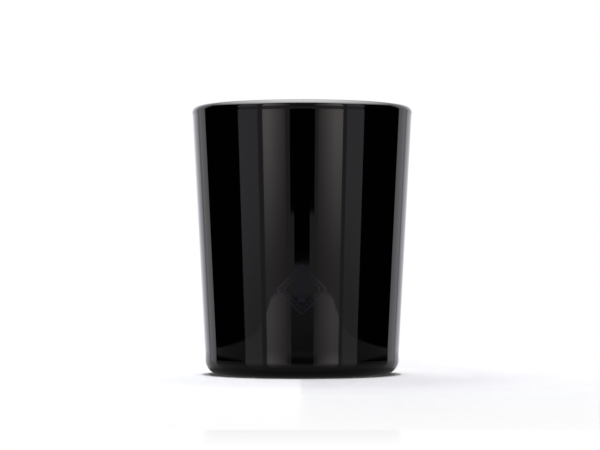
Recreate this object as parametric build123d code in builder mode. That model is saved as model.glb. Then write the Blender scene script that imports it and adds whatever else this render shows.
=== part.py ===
from build123d import *

import os
from math import atan, cos, degrees, radians, sin, sqrt

# Tapered candle tumbler: a heavy clear glass, gloss black lacquer outside, and a small print on the front.
#
# Millimetres. The origin is the centre of the ring that the glass stands on, +Z is up, and the print faces -Y.
# Nothing moves. The lacquer films and the islands of ink are separate solids that lie face to face on what
# carries them, as they would if each layer were stripped off in turn.

# Driving dimensions
JAR_HEIGHT = 97.0  # table to the crest of the lip, lacquer included
MOUTH_DIAMETER = 80.0  # widest point, on the bead of the lip, lacquer included
HEEL_DIAMETER = 70.3  # where the heel has turned upright, lacquer included
WALL_SLOPE = 0.054  # outward run of the outside wall for each mm of rise
BORE_SLOPE = 0.056  # the same for the inside wall, so the glass thins upwards

# Glass
LIP_RADIUS = 2.0  # the lip is fire-polished to a full round, 4 mm thick
BEAD_RUN = 1.5  # height over which the outside swells into the lip
HEEL_RADIUS = 5.1
FLARE_RADIUS = 85.0  # hollow turn from the upright heel into the tapered wall
FLOOR_HEIGHT = 11.0  # inside floor, at its rim
FLOOR_DISH = 0.5  # how far the middle of the inside floor lies below its rim
FLOOR_FILLET = 6.0
RING_OUTER_RADIUS = 29.0  # the flat ring that the glass stands on
RING_INNER_RADIUS = 26.6
RING_PROUD = 0.25  # how far the ring stands below the glass beside it
PUNT_HEIGHT = 2.6  # middle of the hollow under the glass

# Lacquer
LACQUER = 0.1  # film thickness
LACQUER_TURN_IN = 1.9  # how far the film runs down inside the mouth from the lip's centre
BASE_LACQUER_MARGIN = 0.8  # bare glass between the standing ring and the film in the punt

# Print
INK = 0.05  # film thickness
EMBLEM_HEIGHT = 31.0  # centre of the print above the table
OUTER_LOZENGE = 9.0  # half diagonals
INNER_LOZENGE = 6.7
LOZENGE_CORNER = 0.9
OUTER_LINE = 0.5
INNER_LINE = 0.3
BEAD_RADIUS = 0.3
BEADS_PER_SIDE = 7
FLAME_TIP = 4.7  # above the emblem's centre
FLAME_FOOT = -0.9
FLAME_HALF_WIDTH = 1.5
FLAME_LEAN = 0.3  # how far the hollow of the tip bulges, as a share of the half width
WICK_GAP = 0.25  # left clear above and below the wick
WICK_WIDTH = 0.4
WICK_HEIGHT = 1.1
CUP_TOP_WIDTH = 3.0  # small tumbler under the flame
CUP_HEIGHT = 1.8
CUP_SIDE_ANGLE = 82.0  # from the cup's mouth to its side, in degrees

# Worked out from these
WALL_ANGLE = degrees(atan(WALL_SLOPE))
BORE_ANGLE = degrees(atan(BORE_SLOPE))
GLASS_HEIGHT = JAR_HEIGHT - LACQUER
GLASS_MOUTH_RADIUS = MOUTH_DIAMETER / 2 - LACQUER
HEEL_CENTRE = Vector(HEEL_DIAMETER / 2 - LACQUER - HEEL_RADIUS, RING_PROUD + HEEL_RADIUS)
LIP_CENTRE = Vector(GLASS_MOUTH_RADIUS - LIP_RADIUS, GLASS_HEIGHT - LIP_RADIUS)
FLARE_END = Vector(
    HEEL_CENTRE.X + HEEL_RADIUS + FLARE_RADIUS * (1 - cos(radians(WALL_ANGLE))),
    HEEL_CENTRE.Y + FLARE_RADIUS * sin(radians(WALL_ANGLE)),
)
WALL_NORMAL = Vector(cos(radians(WALL_ANGLE)), -sin(radians(WALL_ANGLE)))
BEAD_START = Vector(
    FLARE_END.X + WALL_SLOPE * (LIP_CENTRE.Y - BEAD_RUN - FLARE_END.Y),
    LIP_CENTRE.Y - BEAD_RUN,
)

SAME_HEIGHT = 0.1  # an edge this near a height belongs to it

EMBLEM_PLANE = Plane(origin=(0, 0, EMBLEM_HEIGHT), x_dir=(1, 0, 0), z_dir=(0, -1, 0))

os.makedirs("parts", exist_ok=True)


def on_circle(centre, radius, angle):
    """The point of a circle at an angle in degrees, in the profile plane."""
    return centre + Vector(cos(radians(angle)), sin(radians(angle))) * radius


def bead_arc_radius():
    """Radius of the hollow arc that is tangent to the wall at BEAD_START and to the round of the lip."""
    to_lip = LIP_CENTRE - BEAD_START
    gap = to_lip.dot(to_lip) - LIP_RADIUS**2
    return gap / (2 * (to_lip.dot(WALL_NORMAL) + LIP_RADIUS))


def lip_start_angle():
    """Where on the round of the lip the hollow arc of the bead meets it, in degrees."""
    centre = BEAD_START + WALL_NORMAL * bead_arc_radius()
    across = centre - LIP_CENTRE
    return degrees(atan(across.Y / across.X))


def outside_wall():
    """Adds the outside of the glass to the current BuildLine, from the foot of the heel up to the lip."""
    CenterArc(HEEL_CENTRE, HEEL_RADIUS, -90, 90)
    flare_centre = HEEL_CENTRE + Vector(HEEL_RADIUS + FLARE_RADIUS, 0)
    CenterArc(flare_centre, FLARE_RADIUS, 180, -WALL_ANGLE)
    Line(FLARE_END, BEAD_START)
    bead_radius = bead_arc_radius()
    bead_centre = BEAD_START + WALL_NORMAL * bead_radius
    lip_start = lip_start_angle()
    CenterArc(bead_centre, bead_radius, 180 - WALL_ANGLE, lip_start + WALL_ANGLE)


def lip(end_angle):
    """Adds the round of the lip, from where the bead meets it over the crest to end_angle."""
    lip_start = lip_start_angle()
    CenterArc(LIP_CENTRE, LIP_RADIUS, lip_start, end_angle - lip_start)


def punt(edge_radius):
    """Adds the underside hollow, from the axis out to edge_radius, and returns its outer end."""
    sag = PUNT_HEIGHT - RING_PROUD
    sphere = (RING_INNER_RADIUS**2 + sag**2) / (2 * sag)
    edge_height = PUNT_HEIGHT - sphere + sqrt(sphere**2 - edge_radius**2)
    arc = RadiusArc((0, PUNT_HEIGHT), (edge_radius, edge_height), sphere)
    return arc @ 1


# Glass: one closed profile, turned about the axis
with BuildPart() as glass_tumbler:
    with BuildSketch(Plane.XZ):
        with BuildLine():
            outside_wall()
            lip(180 - BORE_ANGLE)
            bore_top = on_circle(LIP_CENTRE, LIP_RADIUS, 180 - BORE_ANGLE)
            floor_radius = bore_top.X - BORE_SLOPE * (bore_top.Y - FLOOR_HEIGHT)
            floor_edge = Vector(floor_radius, FLOOR_HEIGHT)
            Line(bore_top, floor_edge)
            dish_radius = (floor_radius**2 + FLOOR_DISH**2) / (2 * FLOOR_DISH)
            floor = RadiusArc(floor_edge, (0, FLOOR_HEIGHT - FLOOR_DISH), dish_radius)
            Line(floor @ 1, (0, PUNT_HEIGHT))
            punt_edge = punt(RING_INNER_RADIUS)
            ring_rise = Line(punt_edge, (RING_INNER_RADIUS, 0))
            ring = Line(ring_rise @ 1, (RING_OUTER_RADIUS, 0))
            ring_step = Line(ring @ 1, (RING_OUTER_RADIUS, RING_PROUD))
            Line(ring_step @ 1, (HEEL_CENTRE.X, RING_PROUD))
        make_face()
    revolve(axis=Axis.Z)
    floor_corner = (
        glass_tumbler.edges()
        .filter_by(GeomType.CIRCLE)
        .filter_by(lambda edge: abs(edge.center().Z - FLOOR_HEIGHT) < SAME_HEIGHT)
    )
    fillet(floor_corner, FLOOR_FILLET)
glass_tumbler.part.label = "glass_tumbler"
export_step(glass_tumbler.part, "parts/glass_tumbler.step")


# Lacquer on the wall: up from the heel, over the lip and a little way into the mouth
with BuildPart() as wall_lacquer:
    with BuildSketch(Plane.XZ):
        with BuildLine():
            outside_wall()
            lip(180 - BORE_ANGLE)
            turn_in_top = on_circle(LIP_CENTRE, LIP_RADIUS, 180 - BORE_ANGLE)
            turn_in = Vector(-BORE_SLOPE, -1) * LACQUER_TURN_IN
            Line(turn_in_top, turn_in_top + turn_in)
            offset(amount=LACQUER, side=Side.RIGHT, closed=True, mode=Mode.ADD)
        make_face()
    revolve(axis=Axis.Z)
wall_lacquer.part.label = "wall_lacquer"
export_step(wall_lacquer.part, "parts/wall_lacquer.step")


# Lacquer in the punt, inside the bare standing ring
with BuildPart() as base_lacquer:
    with BuildSketch(Plane.XZ):
        with BuildLine():
            film_edge = punt(RING_INNER_RADIUS - BASE_LACQUER_MARGIN)
            sag = PUNT_HEIGHT - film_edge.Y
            sphere = (film_edge.X**2 + sag**2) / (2 * sag)
            film_drop = Line(film_edge, film_edge - Vector(0, LACQUER))
            under = RadiusArc(film_drop @ 1, (0, PUNT_HEIGHT - LACQUER), -sphere)
            Line(under @ 1, (0, PUNT_HEIGHT))
        make_face()
    revolve(axis=Axis.Z)
base_lacquer.part.label = "base_lacquer"
export_step(base_lacquer.part, "parts/base_lacquer.step")


def lozenge_ring(half_diagonal, line_width):
    """Adds a square frame stood on its corner to the current sketch."""
    side = half_diagonal * sqrt(2)
    inner_side = side - 2 * line_width
    with BuildSketch(mode=Mode.PRIVATE) as hole:
        Rectangle(inner_side, inner_side, rotation=45)
        fillet(hole.vertices(), LOZENGE_CORNER - line_width)
    with BuildSketch(mode=Mode.PRIVATE) as frame:
        Rectangle(side, side, rotation=45)
        fillet(frame.vertices(), LOZENGE_CORNER)
    add(frame.sketch)
    add(hole.sketch, mode=Mode.SUBTRACT)


def ink_film():
    """Cuts the current part down to the film of ink on the tapered wall."""
    foot = FLARE_END + WALL_NORMAL * LACQUER
    head = BEAD_START + WALL_NORMAL * LACQUER
    with BuildSketch(Plane.XZ, mode=Mode.PRIVATE) as band:
        with BuildLine():
            Polyline(foot, head, head + WALL_NORMAL * INK, foot + WALL_NORMAL * INK, close=True)
        make_face()
    revolve(band.sketch, axis=Axis.Z, mode=Mode.INTERSECT)


# Print: each part of the emblem is its own island of ink
with BuildPart() as print_outer_frame:
    with BuildSketch(EMBLEM_PLANE):
        lozenge_ring(OUTER_LOZENGE, OUTER_LINE)
    extrude(amount=MOUTH_DIAMETER / 2)
    ink_film()
print_outer_frame.part.label = "print_outer_frame"
export_step(print_outer_frame.part, "parts/print_outer_frame.step")

with BuildPart() as print_inner_frame:
    with BuildSketch(EMBLEM_PLANE):
        lozenge_ring(INNER_LOZENGE, INNER_LINE)
    extrude(amount=MOUTH_DIAMETER / 2)
    ink_film()
print_inner_frame.part.label = "print_inner_frame"
export_step(print_inner_frame.part, "parts/print_inner_frame.step")

with BuildPart() as print_beads:
    bead_track = (OUTER_LOZENGE - OUTER_LINE * sqrt(2) + INNER_LOZENGE) / 2
    with BuildSketch(EMBLEM_PLANE):
        for side in range(4):
            corner = on_circle(Vector(0, 0), bead_track, 90 * side)
            next_corner = on_circle(Vector(0, 0), bead_track, 90 * (side + 1))
            places = [
                corner + (next_corner - corner) * (bead / BEADS_PER_SIDE)
                for bead in range(BEADS_PER_SIDE)
            ]
            with Locations(*places):
                Circle(BEAD_RADIUS)
    extrude(amount=MOUTH_DIAMETER / 2)
    ink_film()
print_beads.part.label = "print_beads"
export_step(print_beads.part, "parts/print_beads.step")

with BuildPart() as print_flame:
    with BuildSketch(EMBLEM_PLANE):
        with BuildLine():
            belly_height = FLAME_FOOT + FLAME_HALF_WIDTH
            tip = (0, FLAME_TIP)
            belly = (FLAME_HALF_WIDTH, belly_height)
            lean = (FLAME_LEAN * FLAME_HALF_WIDTH, FLAME_TIP / 2)
            shoulder = (FLAME_HALF_WIDTH, belly_height + FLAME_HALF_WIDTH)
            Bezier(tip, lean, shoulder, belly)
            CenterArc((0, belly_height), FLAME_HALF_WIDTH, 0, -90)
            mirror(about=Plane.YZ)
        make_face()
    extrude(amount=MOUTH_DIAMETER / 2)
    ink_film()
print_flame.part.label = "print_flame"
export_step(print_flame.part, "parts/print_flame.step")

with BuildPart() as print_wick:
    with BuildSketch(EMBLEM_PLANE):
        with Locations((0, FLAME_FOOT - WICK_GAP - WICK_HEIGHT / 2)):
            Rectangle(WICK_WIDTH, WICK_HEIGHT)
    extrude(amount=MOUTH_DIAMETER / 2)
    ink_film()
print_wick.part.label = "print_wick"
export_step(print_wick.part, "parts/print_wick.step")

with BuildPart() as print_cup:
    with BuildSketch(EMBLEM_PLANE):
        cup_top = FLAME_FOOT - WICK_GAP - WICK_HEIGHT - WICK_GAP
        with Locations((0, cup_top - CUP_HEIGHT / 2)):
            Trapezoid(CUP_TOP_WIDTH, CUP_HEIGHT, CUP_SIDE_ANGLE, rotation=180)
    extrude(amount=MOUTH_DIAMETER / 2)
    ink_film()
print_cup.part.label = "print_cup"
export_step(print_cup.part, "parts/print_cup.step")
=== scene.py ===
"""Looks of the candle tumbler: clear glass under gloss black lacquer, with a small indigo emblem in front.

The profiles below repeat part.py's in metres, at the fineness that a mirror gloss needs. The studio is a
ring of glowing cards round the jar, a large softbox overhead, a light that only matt surfaces catch, a white
table for the camera and a black sheet on it for the jar's gloss.
"""

from math import asin, atan, cos, exp, hypot, pi, radians, sin, sqrt, tan

import bpy
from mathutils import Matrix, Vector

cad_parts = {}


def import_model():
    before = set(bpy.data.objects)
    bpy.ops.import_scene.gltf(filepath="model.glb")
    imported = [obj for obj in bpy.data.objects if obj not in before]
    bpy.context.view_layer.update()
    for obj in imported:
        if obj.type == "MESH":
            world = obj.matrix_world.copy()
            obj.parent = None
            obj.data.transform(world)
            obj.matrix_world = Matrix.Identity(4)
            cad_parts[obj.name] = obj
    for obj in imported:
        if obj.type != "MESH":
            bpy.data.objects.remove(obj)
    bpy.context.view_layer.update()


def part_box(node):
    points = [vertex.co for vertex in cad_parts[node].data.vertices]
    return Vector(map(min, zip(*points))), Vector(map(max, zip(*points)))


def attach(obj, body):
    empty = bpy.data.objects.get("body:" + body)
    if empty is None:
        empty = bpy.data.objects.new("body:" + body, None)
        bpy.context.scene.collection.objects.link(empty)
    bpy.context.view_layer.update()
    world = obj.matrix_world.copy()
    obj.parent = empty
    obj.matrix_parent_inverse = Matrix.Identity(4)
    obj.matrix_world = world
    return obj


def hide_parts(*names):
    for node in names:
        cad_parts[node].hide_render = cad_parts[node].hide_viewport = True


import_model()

MM = 0.001

# The jar's driving sizes, in metres
LACQUER_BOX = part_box("wall_lacquer")
GLASS_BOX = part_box("glass_tumbler")
RING_PROUD = 0.25 * MM
LACQUER = GLASS_BOX[0].z + RING_PROUD - LACQUER_BOX[0].z
GLASS_TOP = GLASS_BOX[1].z
GLASS_RADIUS = GLASS_BOX[1].x
WALL_ANGLE = atan(0.054)
BORE_ANGLE = atan(0.056)
LIP_RADIUS = 2.0 * MM
BEAD_RUN = 1.5 * MM
HEEL_RADIUS = 5.1 * MM
HEEL_TURN_RADIUS = 35.05 * MM
FLARE_RADIUS = 85.0 * MM
FLOOR_HEIGHT = 11.0 * MM
FLOOR_DISH = 0.5 * MM
FLOOR_FILLET = 6.0 * MM
RING_OUTER = 29.0 * MM
RING_INNER = 26.6 * MM
RING_SOFTNESS = 0.12 * MM
PUNT_HEIGHT = 2.6 * MM
BASE_FILM_MARGIN = 0.8 * MM
TURN_IN = 1.9 * MM
EMBEDDED = 0.02 * MM  # how far a film's hidden face lies inside the glass, so that no two faces coincide

TURNS = 384  # steps round the axis


# ---------------------------------------------------------------------------------------------- profiles

def arc(centre, radius, start, end, steps):
    """Points of an arc from start to end, in radians, both ends included."""
    points = []
    for i in range(steps + 1):
        angle = start + (end - start) * i / steps
        points.append((centre[0] + radius * cos(angle), centre[1] + radius * sin(angle)))
    return points


def line(start, end, steps):
    """Points of a straight run, both ends included."""
    points = []
    for i in range(steps + 1):
        share = i / steps
        points.append((start[0] + (end[0] - start[0]) * share, start[1] + (end[1] - start[1]) * share))
    return points


def joined(*runs):
    """The runs end to end, without the points that repeat where two runs meet."""
    points = []
    for run in runs:
        for point in run:
            if not points or hypot(point[0] - points[-1][0], point[1] - points[-1][1]) > 1e-7:
                points.append(point)
    return points


HEEL_CENTRE = (HEEL_TURN_RADIUS - HEEL_RADIUS, RING_PROUD + HEEL_RADIUS)
LIP_CENTRE = (GLASS_RADIUS - LIP_RADIUS, GLASS_TOP - LIP_RADIUS)
FLARE_CENTRE = (HEEL_TURN_RADIUS + FLARE_RADIUS, HEEL_CENTRE[1])
WALL_NORMAL = (cos(WALL_ANGLE), -sin(WALL_ANGLE))
FLARE_END = (
    FLARE_CENTRE[0] - FLARE_RADIUS * cos(WALL_ANGLE),
    FLARE_CENTRE[1] + FLARE_RADIUS * sin(WALL_ANGLE),
)
BEAD_START = (
    FLARE_END[0] + tan(WALL_ANGLE) * (LIP_CENTRE[1] - BEAD_RUN - FLARE_END[1]),
    LIP_CENTRE[1] - BEAD_RUN,
)


def bead():
    """Centre and radius of the hollow arc from wall to lip, and the angle where the lip takes over."""
    across = LIP_CENTRE[0] - BEAD_START[0]
    rise = LIP_CENTRE[1] - BEAD_START[1]
    gap = across * across + rise * rise - LIP_RADIUS * LIP_RADIUS
    along = across * WALL_NORMAL[0] + rise * WALL_NORMAL[1]
    radius = gap / (2 * (along + LIP_RADIUS))
    centre = (BEAD_START[0] + WALL_NORMAL[0] * radius, BEAD_START[1] + WALL_NORMAL[1] * radius)
    lip_start = atan((centre[1] - LIP_CENTRE[1]) / (centre[0] - LIP_CENTRE[0]))
    return centre, radius, lip_start


BEAD_CENTRE, BEAD_RADIUS, LIP_START = bead()


def outside(cover):
    """The outside from the foot of the heel to the mouth side of the lip, cover metres out from the glass."""
    wall_foot = (FLARE_END[0] + WALL_NORMAL[0] * cover, FLARE_END[1] + WALL_NORMAL[1] * cover)
    wall_head = (BEAD_START[0] + WALL_NORMAL[0] * cover, BEAD_START[1] + WALL_NORMAL[1] * cover)
    return joined(
        arc(HEEL_CENTRE, HEEL_RADIUS + cover, -pi / 2, 0, 28),
        arc(FLARE_CENTRE, FLARE_RADIUS - cover, pi, pi - WALL_ANGLE, 10),
        line(wall_foot, wall_head, 40),
        arc(BEAD_CENTRE, BEAD_RADIUS - cover, pi - WALL_ANGLE, pi + LIP_START, 12),
        arc(LIP_CENTRE, LIP_RADIUS + cover, LIP_START, pi - BORE_ANGLE, 44),
    )


def punt(edge_radius, drop, steps):
    """The hollow under the glass from the axis to edge_radius, drop metres below the glass."""
    sag = PUNT_HEIGHT - RING_PROUD
    sphere = (RING_INNER * RING_INNER + sag * sag) / (2 * sag)
    points = []
    for i in range(steps + 1):
        radius = edge_radius * i / steps
        height = PUNT_HEIGHT - sphere + sqrt(sphere * sphere - radius * radius)
        points.append((radius, height - drop))
    return points


# ---------------------------------------------------------------------------------------------- meshes

def mesh_piece(name, vertices, faces, materials, face_slots=None, sharp=radians(40)):
    """A smooth-shaded mesh object in the scene, with creases kept where faces meet at more than sharp."""
    mesh = bpy.data.meshes.new(name)
    mesh.from_pydata(vertices, [], faces)
    for material in materials:
        mesh.materials.append(material)
    if face_slots:
        mesh.polygons.foreach_set("material_index", face_slots)
    mesh.polygons.foreach_set("use_smooth", [True] * len(mesh.polygons))
    mesh.update()
    mesh.validate()
    mesh.set_sharp_from_angle(angle=sharp)
    piece = bpy.data.objects.new(name, mesh)
    bpy.context.scene.collection.objects.link(piece)
    return piece


def turned(name, profile, materials, slot_of=None, closed=False):
    """Turns a profile about the axis. A point on the axis is one vertex; slot_of picks a run's material."""
    vertices, rows = [], []
    for radius, height in profile:
        if radius < 1e-7:
            rows.append([len(vertices)] * TURNS)
            vertices.append((0, 0, height))
            continue
        rows.append(list(range(len(vertices), len(vertices) + TURNS)))
        for i in range(TURNS):
            angle = 2 * pi * i / TURNS
            vertices.append((radius * sin(angle), -radius * cos(angle), height))
    faces, slots = [], []
    runs = len(profile) if closed else len(profile) - 1
    for k in range(runs):
        low, high = rows[k], rows[(k + 1) % len(profile)]
        for i in range(TURNS):
            j = (i + 1) % TURNS
            corners = [low[i], low[j], high[j], high[i]]
            faces.append(list(dict.fromkeys(corners)))
            slots.append(slot_of(k) if slot_of else 0)
    return mesh_piece(name, vertices, faces, materials, slots)


# ---------------------------------------------------------------------------------------------- node helpers

def new_material(name):
    """A material with a Principled shader, and the means to add nodes to it."""
    material = bpy.data.materials.new(name)
    material.use_nodes = True
    tree = material.node_tree
    shader = tree.nodes["Principled BSDF"]
    return material, tree, shader


def add_node(tree, kind, **inputs):
    """A node of that kind with its input sockets set by name; a socket given as a value is linked."""
    node = tree.nodes.new(kind)
    for name, value in inputs.items():
        socket = node.inputs[name.replace("_", " ")]
        if isinstance(value, bpy.types.NodeSocket):
            tree.links.new(value, socket)
        else:
            socket.default_value = value
    return node


def object_noise(tree, scale, detail=3.0, roughness=0.55, stretch=(1, 1, 1)):
    """Noise in the row frame: scale is in features per metre, and stretch squeezes it along X, Y and Z."""
    place = tree.nodes.new("ShaderNodeTexCoord")
    mapping = add_node(tree, "ShaderNodeMapping", Vector=place.outputs["Object"], Scale=stretch)
    noise = add_node(
        tree,
        "ShaderNodeTexNoise",
        Vector=mapping.outputs["Vector"],
        Scale=scale,
        Detail=detail,
        Roughness=roughness,
    )
    return noise.outputs["Fac"]


def ramp(tree, value, low, high, out_low, out_high):
    """value mapped from low..high to out_low..out_high, held at the ends."""
    node = tree.nodes.new("ShaderNodeMapRange")
    node.clamp = True
    tree.links.new(value, node.inputs["Value"])
    for name, number in (("From Min", low), ("From Max", high), ("To Min", out_low), ("To Max", out_high)):
        node.inputs[name].default_value = number
    return node.outputs["Result"]


def bump(tree, height, distance):
    """A bump of that depth in metres."""
    node = tree.nodes.new("ShaderNodeBump")
    node.inputs["Strength"].default_value = 1.0
    node.inputs["Distance"].default_value = distance
    tree.links.new(height, node.inputs["Height"])
    return node.outputs["Normal"]


def combined(tree, first, second, operation):
    """Two values put through a maths operation."""
    node = tree.nodes.new("ShaderNodeMath")
    node.operation = operation
    for socket, value in zip(node.inputs, (first, second)):
        if isinstance(value, bpy.types.NodeSocket):
            tree.links.new(value, socket)
        else:
            socket.default_value = value
    return node.outputs["Value"]


# ---------------------------------------------------------------------------------------------- materials

PEEL_DEPTH = 0.9e-6  # metres, as are the next two
MOULD_WAVE_DEPTH = 6e-6
INK_GRAIN_DEPTH = 3e-6


def lacquer_material():
    """Sprayed black gloss: a mirror with a trace of orange peel and faint smears."""
    material, tree, shader = new_material("gloss_black_lacquer")
    shader.inputs["Base Color"].default_value = (0.0002, 0.0002, 0.00025, 1)
    shader.inputs["IOR"].default_value = 1.5
    smear = ramp(tree, object_noise(tree, 70, 4, 0.6, (1, 1, 0.6)), 0.42, 0.72, 0.03, 0.06)
    tree.links.new(smear, shader.inputs["Roughness"])
    peel = object_noise(tree, 420, 1.5, 0.4)
    tree.links.new(bump(tree, peel, PEEL_DEPTH), shader.inputs["Normal"])
    return material


def hidden_film_material():
    """The side of a film that grips the glass: seen only through the glass, so with no gloss of its own."""
    material, tree, shader = new_material("lacquer_behind_glass")
    shader.inputs["Base Color"].default_value = (0.0015, 0.0015, 0.0017, 1)
    shader.inputs["Specular IOR Level"].default_value = 0.0
    shader.inputs["Roughness"].default_value = 0.6
    return material


def glass_material():
    """Clear soda-lime glass, green where it is thick, with the faint waves of a pressed tumbler."""
    material, tree, shader = new_material("clear_glass")
    shader.inputs["Base Color"].default_value = (1, 1, 1, 1)
    shader.inputs["IOR"].default_value = 1.52
    shader.inputs["Transmission Weight"].default_value = 1.0
    shader.inputs["Roughness"].default_value = 0.01
    waves = object_noise(tree, 90, 2, 0.4, (1, 1, 0.5))
    tree.links.new(bump(tree, waves, MOULD_WAVE_DEPTH), shader.inputs["Normal"])
    absorb = tree.nodes.new("ShaderNodeVolumeAbsorption")
    absorb.inputs["Color"].default_value = (0.62, 0.9, 0.78, 1)
    absorb.inputs["Density"].default_value = 18.0
    tree.links.new(absorb.outputs["Volume"], tree.nodes["Material Output"].inputs["Volume"])
    return material


def ink_material():
    """Deep indigo print, a little duller than the lacquer, with the uneven cover of a pad-printed film."""
    material, tree, shader = new_material("indigo_ink")
    cover = object_noise(tree, 2600, 3, 0.6)
    colour = tree.nodes.new("ShaderNodeValToRGB")
    colour.color_ramp.elements[0].position = 0.35
    colour.color_ramp.elements[0].color = (0.0014, 0.0014, 0.0042, 1)
    colour.color_ramp.elements[1].position = 0.6
    colour.color_ramp.elements[1].color = (0.0034, 0.0034, 0.0092, 1)
    tree.links.new(cover, colour.inputs["Fac"])
    tree.links.new(colour.outputs["Color"], shader.inputs["Base Color"])
    shader.inputs["IOR"].default_value = 1.5
    tree.links.new(ramp(tree, cover, 0.3, 0.7, 0.3, 0.2), shader.inputs["Roughness"])
    tree.links.new(bump(tree, cover, INK_GRAIN_DEPTH), shader.inputs["Normal"])
    return material


LACQUER_LOOK = lacquer_material()
HIDDEN_LOOK = hidden_film_material()
GLASS_LOOK = glass_material()
INK_LOOK = ink_material()


# ---------------------------------------------------------------------------------------------- glass tumbler

def bore_and_floor():
    """The inside from the mouth down to the middle of the floor, with the floor's corner rounded."""
    top = (LIP_CENTRE[0] - LIP_RADIUS * cos(BORE_ANGLE), LIP_CENTRE[1] + LIP_RADIUS * sin(BORE_ANGLE))
    corner = (top[0] - tan(BORE_ANGLE) * (top[1] - FLOOR_HEIGHT), FLOOR_HEIGHT)
    dish = (corner[0] ** 2 + FLOOR_DISH**2) / (2 * FLOOR_DISH)
    dish_centre = FLOOR_HEIGHT - FLOOR_DISH + dish
    fillet = FLOOR_FILLET
    # the fillet's centre lies one radius inside the bore and one radius above the dished floor
    reach = dish - fillet
    centre_radius = fillet_axis_radius(corner, fillet, dish_centre, reach)
    centre = (centre_radius, dish_centre - sqrt(reach**2 - centre_radius**2))
    floor_start = asin(centre_radius / reach)
    foot = (centre[0] + fillet * cos(BORE_ANGLE), centre[1] - fillet * sin(BORE_ANGLE))
    round_corner = arc(centre, fillet, -BORE_ANGLE, floor_start - pi / 2, 20)
    floor = arc((0, dish_centre), dish, floor_start - pi / 2, -pi / 2, 30)
    return joined(line(top, foot, 40), round_corner, floor)


def fillet_axis_radius(corner, fillet, dish_centre, reach):
    """Distance from the axis of the fillet's centre, by halving between the axis and the bore."""
    low, high = 0.0, corner[0]
    for _ in range(60):
        middle = (low + high) / 2
        height = dish_centre - sqrt(reach**2 - middle**2)
        bore = corner[0] + tan(BORE_ANGLE) * (height - corner[1])
        if bore - middle > fillet / cos(BORE_ANGLE):
            low = middle
        else:
            high = middle
    return (low + high) / 2


def standing_ring():
    """The bare ring that the glass stands on, with softened edges, from the punt out to the heel."""
    soft = RING_SOFTNESS
    return joined(
        [(RING_INNER, RING_PROUD)],
        arc((RING_INNER + soft, soft), soft, pi, 1.5 * pi, 5),
        arc((RING_OUTER - soft, soft), soft, 1.5 * pi, 2 * pi, 5),
        [(RING_OUTER, RING_PROUD)],
    )


def glass_tumbler():
    """The glass as one closed skin: inside, lip, wall, heel, standing ring and punt."""
    profile = joined(punt(RING_INNER, 0, 24), standing_ring(), outside(0), bore_and_floor())
    piece = turned("tumbler_glass", profile, [GLASS_LOOK])
    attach(piece, "root")
    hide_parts("glass_tumbler")


# ---------------------------------------------------------------------------------------------- lacquer

def wall_lacquer():
    """The film from the heel over the lip and into the mouth, feathered at both ends, closed behind."""
    face = outside(LACQUER)
    mouth = face[-1]
    mouth_end = (mouth[0] - sin(BORE_ANGLE) * TURN_IN, mouth[1] - cos(BORE_ANGLE) * TURN_IN)
    feather = (mouth_end[0] + LACQUER + EMBEDDED, mouth_end[1] - 2 * LACQUER)
    heel_end = (face[0][0] - 2 * LACQUER, face[0][1] + LACQUER + EMBEDDED)
    front = joined([heel_end], face, line(mouth, mouth_end, 4), [feather])
    back = outside(-EMBEDDED)
    back.reverse()
    profile = joined(front, back)
    front_runs = len(front) - 1
    looks = [LACQUER_LOOK, HIDDEN_LOOK]
    piece = turned("lacquer_wall", profile, looks, lambda k: int(k >= front_runs), closed=True)
    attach(piece, "root")
    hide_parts("wall_lacquer")


def base_lacquer():
    """The film in the hollow under the glass, inside the bare ring."""
    edge = RING_INNER - BASE_FILM_MARGIN
    front = punt(edge, LACQUER, 24)
    feather = (edge + 2 * LACQUER, front[-1][1] + LACQUER)
    back = punt(edge, -EMBEDDED, 24)
    back.reverse()
    profile = joined(front, [feather], back)
    piece = turned("lacquer_base", profile, [LACQUER_LOOK, HIDDEN_LOOK], lambda k: int(k > len(front)))
    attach(piece, "root")
    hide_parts("base_lacquer")


# ---------------------------------------------------------------------------------------------- print

INK = 0.05 * MM
EMBLEM_HEIGHT = 31.0 * MM
OUTER_LOZENGE = 9.0 * MM
INNER_LOZENGE = 6.7 * MM
LOZENGE_CORNER = 0.9 * MM
OUTER_LINE = 0.5 * MM
INNER_LINE = 0.3 * MM
BEAD_DOT = 0.3 * MM
BEADS_PER_SIDE = 7
FLAME_TIP = 4.7 * MM
FLAME_FOOT = -0.9 * MM
FLAME_HALF = 1.5 * MM
FLAME_LEAN = 0.3
WICK_GAP = 0.25 * MM
WICK_WIDTH = 0.4 * MM
WICK_HEIGHT = 1.1 * MM
CUP_TOP = 3.0 * MM
CUP_HEIGHT = 1.8 * MM
CUP_ANGLE = radians(82)


def on_wall(across, up, cover):
    """The point of the tapered wall in front of an emblem point, cover metres out from the lacquer."""
    height = EMBLEM_HEIGHT + up
    radius = FLARE_END[0] + tan(WALL_ANGLE) * (height - FLARE_END[1]) + (LACQUER + cover) / cos(WALL_ANGLE)
    return (across, -sqrt(radius * radius - across * across), height)


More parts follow.
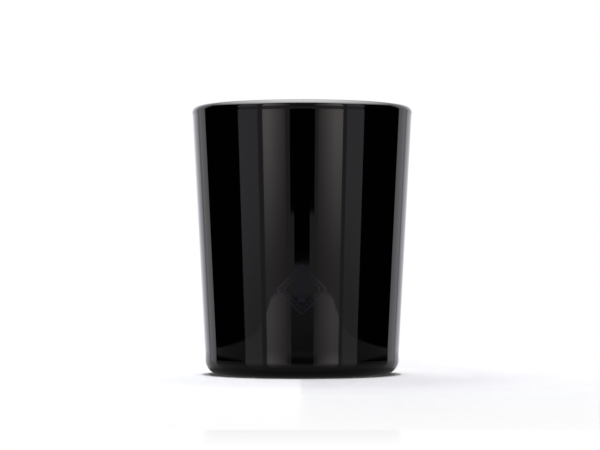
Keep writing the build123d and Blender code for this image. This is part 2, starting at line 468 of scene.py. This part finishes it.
def ink_islands(name, node, islands):
    """One piece of ink. Each island is rows of emblem points, and whether the last row joins the first."""
    vertices, faces = [], []
    for rows, looped in islands:
        columns = len(rows[0])
        first = len(vertices)
        for cover in (INK, -EMBEDDED):
            for row in rows:
                for across, up in row:
                    vertices.append(on_wall(across, up, cover))
        back = len(rows) * columns
        cells = len(rows) if looped else len(rows) - 1

        def at(i, j, layer):
            return first + layer * back + (i % len(rows)) * columns + j

        for i in range(cells):
            for j in range(columns - 1):
                faces.append([at(i, j, 0), at(i, j + 1, 0), at(i + 1, j + 1, 0), at(i + 1, j, 0)])
                faces.append([at(i + 1, j, 1), at(i + 1, j + 1, 1), at(i, j + 1, 1), at(i, j, 1)])
            for j, flip in ((0, False), (columns - 1, True)):
                side = [at(i, j, 0), at(i + 1, j, 0), at(i + 1, j, 1), at(i, j, 1)]
                faces.append(side[::-1] if flip else side)
        if not looped:
            for i, flip in ((0, True), (len(rows) - 1, False)):
                for j in range(columns - 1):
                    side = [at(i, j, 0), at(i, j + 1, 0), at(i, j + 1, 1), at(i, j, 1)]
                    faces.append(side[::-1] if flip else side)
    piece = mesh_piece(name, vertices, faces, [INK_LOOK])
    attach(piece, "root")
    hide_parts(node)


def rows_of(half_width, foot, top, steps=16, columns=8, centre=(0, 0)):
    """Rows of emblem points that fill a shape whose half width at each height is given by half_width."""
    rows = []
    for i in range(steps + 1):
        up = foot + (top - foot) * (1 - cos(pi * i / steps)) / 2
        half = max(half_width(up), 0.004 * MM)
        row = [(centre[0] + half * (2 * j / columns - 1), centre[1] + up) for j in range(columns + 1)]
        rows.append(row)
    return rows


def rounded_lozenge(half_diagonal, corner):
    """Outline of a square stood on its corner with rounded corners, anticlockwise from the right."""
    centre_out = half_diagonal - corner * sqrt(2)
    points = []
    for quarter in range(4):
        middle = pi / 2 * quarter
        centre = (centre_out * cos(middle), centre_out * sin(middle))
        points += arc(centre, corner, middle - pi / 4, middle + pi / 4, 10)
        start = points[-1]
        following = middle + pi / 2
        next_centre = (centre_out * cos(following), centre_out * sin(following))
        turn = following - pi / 4
        end = (next_centre[0] + corner * cos(turn), next_centre[1] + corner * sin(turn))
        points += line(start, end, 20)[1:-1]
    return points


def lozenge_frame(half_diagonal, width):
    """Rows of emblem points along a lozenge line of that width, from its inner edge to its outer edge."""
    outer = rounded_lozenge(half_diagonal, LOZENGE_CORNER)
    inner = rounded_lozenge(half_diagonal - width * sqrt(2), LOZENGE_CORNER - width)
    return [[i, ((i[0] + o[0]) / 2, (i[1] + o[1]) / 2), o] for i, o in zip(inner, outer)]


def bead_rows():
    """One disc for each bead of the row between the two lozenge lines."""
    track = (OUTER_LOZENGE - OUTER_LINE * sqrt(2) + INNER_LOZENGE) / 2
    discs = []
    for quarter in range(4):
        start, end = pi / 2 * quarter, pi / 2 * (quarter + 1)
        for k in range(BEADS_PER_SIDE):
            share = k / BEADS_PER_SIDE
            centre = (
                track * (cos(start) * (1 - share) + cos(end) * share),
                track * (sin(start) * (1 - share) + sin(end) * share),
            )
            disc = rows_of(lambda up: sqrt(max(BEAD_DOT**2 - up**2, 0)), -BEAD_DOT, BEAD_DOT, 12, 4, centre)
            discs.append((disc, False))
    return discs


def bezier(values, t):
    """The value at t, from 0 to 1, of a cubic Bezier with these four control values."""
    first, second, third, fourth = values
    rest = 1 - t
    return rest**3 * first + 3 * rest**2 * t * second + 3 * rest * t**2 * third + t**3 * fourth


def flame_half_width(up):
    """Half width of the flame: a round belly under a hollow-sided tip."""
    belly = FLAME_FOOT + FLAME_HALF
    if up < belly:
        return sqrt(max(FLAME_HALF**2 - (up - belly) ** 2, 0))
    # the side is the Bezier of the CAD outline from the tip to the belly, read back by height
    heights = (FLAME_TIP, FLAME_TIP / 2, belly + FLAME_HALF, belly)
    widths = (0, FLAME_LEAN * FLAME_HALF, FLAME_HALF, FLAME_HALF)
    low, high = 0.0, 1.0
    for _ in range(40):
        t = (low + high) / 2
        if bezier(heights, t) > up:
            low = t
        else:
            high = t
    return bezier(widths, t)


def emblem():
    """Every island of the print."""
    ink_islands("ink_outer_frame", "print_outer_frame", [(lozenge_frame(OUTER_LOZENGE, OUTER_LINE), True)])
    ink_islands("ink_inner_frame", "print_inner_frame", [(lozenge_frame(INNER_LOZENGE, INNER_LINE), True)])
    ink_islands("ink_beads", "print_beads", bead_rows())
    ink_islands("ink_flame", "print_flame", [(rows_of(flame_half_width, FLAME_FOOT, FLAME_TIP, 40), False)])
    wick_top = FLAME_FOOT - WICK_GAP
    wick = rows_of(lambda up: WICK_WIDTH / 2, wick_top - WICK_HEIGHT, wick_top, 8, 2)
    ink_islands("ink_wick", "print_wick", [(wick, False)])
    cup_top = wick_top - WICK_HEIGHT - WICK_GAP

    def cup_half_width(up):
        return CUP_TOP / 2 - (cup_top - up) / tan(CUP_ANGLE)

    cup = rows_of(cup_half_width, cup_top - CUP_HEIGHT, cup_top, 10, 8)
    ink_islands("ink_cup", "print_cup", [(cup, False)])


# ---------------------------------------------------------------------------------------------- studio

def only_seen_by(piece, camera=False, diffuse=False, glossy=False, transmission=False):
    """Makes a piece seen only by these kinds of rays, and casting no shadow."""
    piece.visible_camera = camera
    piece.visible_diffuse = diffuse
    piece.visible_glossy = glossy
    piece.visible_transmission = transmission
    piece.visible_shadow = False


def light_material(name):
    """A material that only gives light, with its emission node, which starts out plain white."""
    material = bpy.data.materials.new(name)
    material.use_nodes = True
    tree = material.node_tree
    tree.nodes.clear()
    emission = add_node(tree, "ShaderNodeEmission", Strength=1.0)
    output = tree.nodes.new("ShaderNodeOutputMaterial")
    tree.links.new(emission.outputs["Emission"], output.inputs["Surface"])
    return material, tree, emission


def glow_material(name, colour):
    """Light of one colour, of the strength that the mesh's glow attribute says."""
    material, tree, emission = light_material(name)
    glow = tree.nodes.new("ShaderNodeAttribute")
    glow.attribute_name = "glow"
    tree.links.new(glow.outputs["Fac"], emission.inputs["Strength"])
    emission.inputs["Color"].default_value = colour
    return material


PLAIN_GLOW = glow_material("plain_glow", (1, 1, 1, 1))
WARM_GLOW = glow_material("warm_glow", (1.06, 0.97, 0.97, 1))
COOL_GLOW = glow_material("cool_glow", (0.985, 0.985, 1.055, 1))


def glowing_sheet(name, vertices, faces, values, glossy=True, look=PLAIN_GLOW):
    """A surface that gives light, as strong at each vertex as values says, and unseen by the camera."""
    piece = mesh_piece(name, vertices, faces, [look])
    attribute = piece.data.attributes.new("glow", "FLOAT", "POINT")
    attribute.data.foreach_set("value", values)
    only_seen_by(piece, glossy=glossy, diffuse=True, transmission=glossy)


def grid_faces(rows, columns):
    """The faces of a grid whose vertices run row by row, with one more each way than there are faces."""
    faces = []
    for i in range(rows):
        for j in range(columns):
            corner = i * (columns + 1) + j
            faces.append([corner, corner + 1, corner + columns + 2, corner + columns + 1])
    return faces


CARD_DISTANCE = 1.3
CARD_ROW = 0.02  # height of a row of a card's grid; a column is about one degree wide


def card(name, start, end, low, high, glow, look=COOL_GLOW):
    """A curved card round the jar, between two azimuths in degrees from the camera's side and two heights.
    glow gives its brightness at an azimuth and a height."""
    columns = max(2, int(abs(end - start)))
    rows = max(2, int((high - low) / CARD_ROW))
    vertices, values = [], []
    for i in range(rows + 1):
        height = low + (high - low) * i / rows
        for j in range(columns + 1):
            azimuth = start + (end - start) * j / columns
            x, y = CARD_DISTANCE * sin(radians(azimuth)), -CARD_DISTANCE * cos(radians(azimuth))
            vertices.append((x, y, height))
            values.append(glow(azimuth, height))
    glowing_sheet(name, vertices, grid_faces(rows, columns), values, look=look)


def smooth_step(value, limits):
    """0 below the lower limit, 1 above the upper one, and an S between."""
    low, high = limits
    share = min(max((value - low) / (high - low), 0), 1)
    return share * share * (3 - 2 * share)


# Where the cards lie: heights in metres, azimuths in degrees from the camera's side. Pairs are (left, right).
CARD_FOOT = -0.42
CARD_HEAD = 0.98
LENS_HALF = (12.4, 13.3)  # stays black round the camera, between the stands and the drape
STAND_HALF = 8.3  # the gap between the two stands
STAND_HEAD = -0.0447
STAND_FOOT_HEAD = -0.0934
DRAPE_FOOT = 0.12
DRAPE_DIMS = (0.13, 0.19)
DRAPE_CLEARS = (0.3, 0.5)
KEY_START = 17.3
KEY_END = (40.9, 42.7)
KEY_SPREAD = 17.5  # from the dim inside of a softbox to its bright outside
KEY_FADE = (-0.111, 0.078)
FILL_START = (46.5, 47.2)
FILL_END = (69.0, 67.0)
FILL_FADE = (-0.16, 0.02)
SWEEP_START = 120.7
SEAM_START = (135.4, 138.6)
SEAM_WIDTH = 4.8
MIDDLE_SPREAD = 20  # over these degrees the left middle of the sweep brightens
OVERHEAD_HEIGHT = 1.0

# How bright they are, where 1 is the white of the surround
CLOTH_GLOW = 0.28  # the cloth between and below the softboxes
KEY_HEM_GLOW, KEY_GLOW = 0.42, 1.62
KEY_INSIDE = 0.17  # how much of the rise from the cloth to the peak a softbox has at its inside edge
FILL_HEM_GLOW, FILL_GLOW = 0.36, 0.57
PANEL_GLOW, SEAM_GLOW = 0.77, 0.53  # the sweep's outer panels, and the seams inside them
MIDDLE_GLOW = (0.93, 0.97)  # the sweep behind the jar
MIDDLE_RISE = (0.36, 0)  # how much it brightens towards the middle
DRAPE_GLOW, DRAPE_SHADE = 0.32, 0.26

# The brighter band of the softboxes: the heights where it starts and ends, and what it adds to their parts
BAND_RISES = (0.09, 0.2)
BAND_FALLS = (0.3, 0.45)
BAND_INSIDE, BAND_START, BAND_FILL = 0.55, 0.4, 0.25
BAND_PEAK = (0.05, -0.1)


def hot_band(height):
    """The softboxes' brighter band above the table, which the jar mirrors by way of the black sheet."""
    return smooth_step(height, BAND_RISES) * (1 - smooth_step(height, BAND_FALLS))


def key_glow(azimuth, height):
    """The softboxes beside the camera: dim inside, bright outside, fading to their lower hem."""
    band = hot_band(height)
    if abs(azimuth) < KEY_START:
        return CLOTH_GLOW + BAND_INSIDE * band
    peak = KEY_HEM_GLOW + (KEY_GLOW - KEY_HEM_GLOW) * smooth_step(height, KEY_FADE)
    peak += BAND_PEAK[int(azimuth > 0)] * band
    start = CLOTH_GLOW + KEY_INSIDE * (peak - CLOTH_GLOW) + BAND_START * band
    share = min(max((abs(azimuth) - KEY_START) / KEY_SPREAD, 0), 1)
    return start + (peak - start) * share


def fill_glow(azimuth, height):
    """The reflectors outside the softboxes, a little darker towards the table."""
    rise = (FILL_GLOW - FILL_HEM_GLOW) * smooth_step(height, FILL_FADE)
    return FILL_HEM_GLOW + rise + BAND_FILL * hot_band(height)


def sweep_glow(azimuth, height):
    """The white sweep behind the jar: two panels a side with a dark seam between them."""
    around = abs(azimuth)
    side = int(azimuth > 0)
    if around < SEAM_START[side]:
        return PANEL_GLOW
    past_seam = around - SEAM_START[side] - SEAM_WIDTH
    if past_seam < 0:
        return SEAM_GLOW
    return MIDDLE_GLOW[side] + MIDDLE_RISE[side] * min(past_seam / MIDDLE_SPREAD, 1)


def cloth_glow(azimuth, height):
    """The grey cloth between and below the softboxes."""
    return CLOTH_GLOW


def drape_glow(azimuth, height):
    """The cloth above the camera, with a band of shade across it."""
    shade = smooth_step(height, DRAPE_DIMS) - smooth_step(height, DRAPE_CLEARS)
    return DRAPE_GLOW - DRAPE_SHADE * shade


def softboxes():
    """What the jar mirrors, to the left and to the right, in the middle and behind it."""
    for i, (side, name) in enumerate(((-1, "left"), (1, "right"))):
        lens, key = side * LENS_HALF[i], side * KEY_END[i]
        fill, end = side * FILL_START[i], side * FILL_END[i]
        card(f"key_{name}", lens, key, CARD_FOOT, CARD_HEAD, key_glow, WARM_GLOW)
        card(f"hem_{name}", key, fill, CARD_FOOT, CARD_HEAD, cloth_glow)
        card(f"fill_{name}", fill, end, CARD_FOOT, CARD_HEAD, fill_glow)
        card(f"stand_{name}", side * STAND_HALF, lens, CARD_FOOT, STAND_HEAD, cloth_glow)
        card(f"sweep_{name}", side * SWEEP_START, side * 180, CARD_FOOT, CARD_HEAD, sweep_glow)
    card("drape", -LENS_HALF[0], LENS_HALF[1], DRAPE_FOOT, CARD_HEAD, drape_glow)
    card("stand_foot", -STAND_HALF, STAND_HALF, CARD_FOOT, STAND_FOOT_HEAD, cloth_glow)


def back_light(height=0.97, half=0.5, front=0.1, back=0.8, radiance=45.0):
    """A light behind the jar that only matt surfaces catch, for the soft shade in front of the foot."""
    corners = [(-half, front, height), (-half, back, height), (half, back, height), (half, front, height)]
    glowing_sheet("back_light", corners, [[0, 1, 2, 3]], [radiance] * 4, glossy=False)


def overhead(front=-0.8, back=1.25, half=1.25, step=0.05, radiance=12.0, middle=-0.3, spread=0.95):
    """The large softbox above the jar, brightest a little in front of it and fading away from there."""
    columns = round(2 * half / step)
    rows = round((back - front) / step)
    vertices, values = [], []
    for i in range(rows + 1):
        for j in range(columns + 1):
            x, y = -half + step * j, back - step * i
            vertices.append((x, y, OVERHEAD_HEIGHT))
            values.append(radiance * exp(-(x * x + (y - middle) ** 2) / spread**2))
    glowing_sheet("overhead_softbox", vertices, grid_faces(rows, columns), values)


def distance_from_axis(tree):
    """How far a point of the table is from the middle of the jar's foot, in metres."""
    place = tree.nodes.new("ShaderNodeTexCoord")
    distance = tree.nodes.new("ShaderNodeVectorMath")
    distance.operation = "LENGTH"
    tree.links.new(place.outputs["Object"], distance.inputs[0])
    return distance.outputs["Value"]


FLOOR_GREY = 0.135  # keeps the table just under white in this much light, so that the soft shade shows
FLOOR_PAINTED_GLOW = 0.003  # painted light: a faint even glow of the table, standing in for light that reaches the contact line through the acrylic
BLEND_START = 0.12  # from here the table fades into the plain white surround
BLEND_END = 0.32


def floor_material():
    """White acrylic: just glossy enough to mirror the foot of the jar, and lost in white further out."""
    material, tree, shader = new_material("white_acrylic")
    shader.inputs["Base Color"].default_value = (FLOOR_GREY, FLOOR_GREY, FLOOR_GREY, 1)
    shader.inputs["Emission Color"].default_value = (1, 1, 1, 1)
    # painted light: the table's faint glow, which lifts the dark contact line
    shader.inputs["Emission Strength"].default_value = FLOOR_PAINTED_GLOW
    shader.inputs["IOR"].default_value = 1.1
    shader.inputs["Roughness"].default_value = 0.05
    white = add_node(tree, "ShaderNodeEmission", Strength=1.0)
    blend = tree.nodes.new("ShaderNodeMixShader")
    share = ramp(tree, distance_from_axis(tree), BLEND_START, BLEND_END, 0, 1)
    tree.links.new(share, blend.inputs[0])
    tree.links.new(shader.outputs["BSDF"], blend.inputs[1])
    tree.links.new(white.outputs["Emission"], blend.inputs[2])
    tree.links.new(blend.outputs["Shader"], tree.nodes["Material Output"].inputs["Surface"])
    return material


# Painted light on the sheet, a glow round the jar's foot and towards its sides that stands in for light
# falling on it there, and the distances in metres where things change
FOOT_PAINTED_LIGHT = (0.065, 0.16)
FOOT_PAINTED_LIGHT_RISES = (0.031, 0.04)
FOOT_PAINTED_LIGHT_FALLS = (0.042, 0.085)
SIDE_PAINTED_LIGHT = 0.085
SIDE_PAINTED_LIGHT_RISES = (0.03, 0.075)
SHEET_GLOSS = 0.5  # the specular level of plain acrylic
SHEET_GLOSS_RISES = (0.036, 0.046)


def sheet_material():
    """Black acrylic, which only the jar mirrors, with painted light: it glows round the jar's foot and
    towards its sides.
    """
    material, tree, shader = new_material("black_acrylic_painted_light")
    shader.inputs["Base Color"].default_value = (0.008, 0.008, 0.0082, 1)
    shader.inputs["IOR"].default_value = 1.5
    shader.inputs["Roughness"].default_value = 0.1
    away = distance_from_axis(tree)
    # painted light: a glowing ring on the sheet round the jar's foot
    rise = ramp(tree, away, *FOOT_PAINTED_LIGHT_RISES, *FOOT_PAINTED_LIGHT)
    fall = ramp(tree, away, *FOOT_PAINTED_LIGHT_FALLS, 1, 0)
    foot = combined(tree, rise, fall, "MULTIPLY")
    place = tree.nodes.new("ShaderNodeTexCoord")
    parts = add_node(tree, "ShaderNodeSeparateXYZ", Vector=place.outputs["Object"])
    # painted light: the sheet glows more towards the jar's sides
    aside = combined(tree, parts.outputs["X"], 0.0, "ABSOLUTE")
    sides = ramp(tree, aside, *SIDE_PAINTED_LIGHT_RISES, 0, SIDE_PAINTED_LIGHT)
    # the painted light of the foot ring and of the sides goes in as emission
    shader.inputs["Emission Color"].default_value = (1, 1, 1, 1)
    tree.links.new(combined(tree, foot, sides, "MAXIMUM"), shader.inputs["Emission Strength"])
    gloss = ramp(tree, away, *SHEET_GLOSS_RISES, 0, SHEET_GLOSS)
    tree.links.new(gloss, shader.inputs["Specular IOR Level"])
    return material


def flat_shape(name, outline, material):
    """A flat shape on the table."""
    return mesh_piece(name, [(x, y, 0) for x, y in outline], [list(range(len(outline)))], [material])


def floors(white_radius=1.1, sheet_half=0.1485, front=-0.272, back=0.148, corner=0.05):
    """The white table that the camera sees, and the black sheet that the jar's gloss mirrors."""
    white = flat_shape("studio_floor", arc((0, 0), white_radius, 0, 2 * pi, 96)[:-1], floor_material())
    only_seen_by(white, camera=True, diffuse=True, transmission=True)
    turn = (sheet_half - corner, front + corner)
    left = arc((-turn[0], turn[1]), corner, pi, 1.5 * pi, 16)
    right = arc(turn, corner, 1.5 * pi, 2 * pi, 16)
    # from its rounded front corners the sheet narrows to the jar's sides and tapers off behind
    waist = [(0.119, -0.1), (0.128, -0.05), (0.132, -0.01), (0.132, 0.03), (0.122, 0.07), (0.1, back)]
    outline = left + right + waist + [(-x, y) for x, y in reversed(waist)]
    sheet = flat_shape("black_sheet", outline, sheet_material())
    only_seen_by(sheet, glossy=True)


def white_surround(radius=3.0):
    """The plain white that the camera sees all round."""
    bpy.ops.mesh.primitive_uv_sphere_add(segments=48, ring_count=24, radius=radius)
    dome = bpy.context.object
    dome.name = "white_surround"
    dome.data.materials.append(light_material("plain_white")[0])
    only_seen_by(dome, camera=True)


def camera(distance=0.7816, height=0.038, aside=-0.0007, lens=128.94, pitch=1.186):
    """A long lens a little below half the jar's height, tipped up a little."""
    data = bpy.data.cameras.new("camera")
    data.sensor_width = 36
    data.lens = lens
    data.clip_start, data.clip_end = 0.01, 20
    piece = bpy.data.objects.new("camera", data)
    piece.location = (aside, -distance, height)
    piece.rotation_euler = (radians(90 + pitch), 0, 0)
    bpy.context.scene.collection.objects.link(piece)
    bpy.context.scene.camera = piece


def world():
    """A dark room: all of the light comes from the glowing sheets."""
    room = bpy.data.worlds.new("dark_room")
    room.use_nodes = True
    room.node_tree.nodes["Background"].inputs["Color"].default_value = (0, 0, 0, 1)
    bpy.context.scene.world = room


glass_tumbler()
wall_lacquer()
base_lacquer()
emblem()
softboxes()
overhead()
back_light()
floors()
white_surround()
camera()
world()
bpy.context.scene.view_settings.view_transform = "Standard"
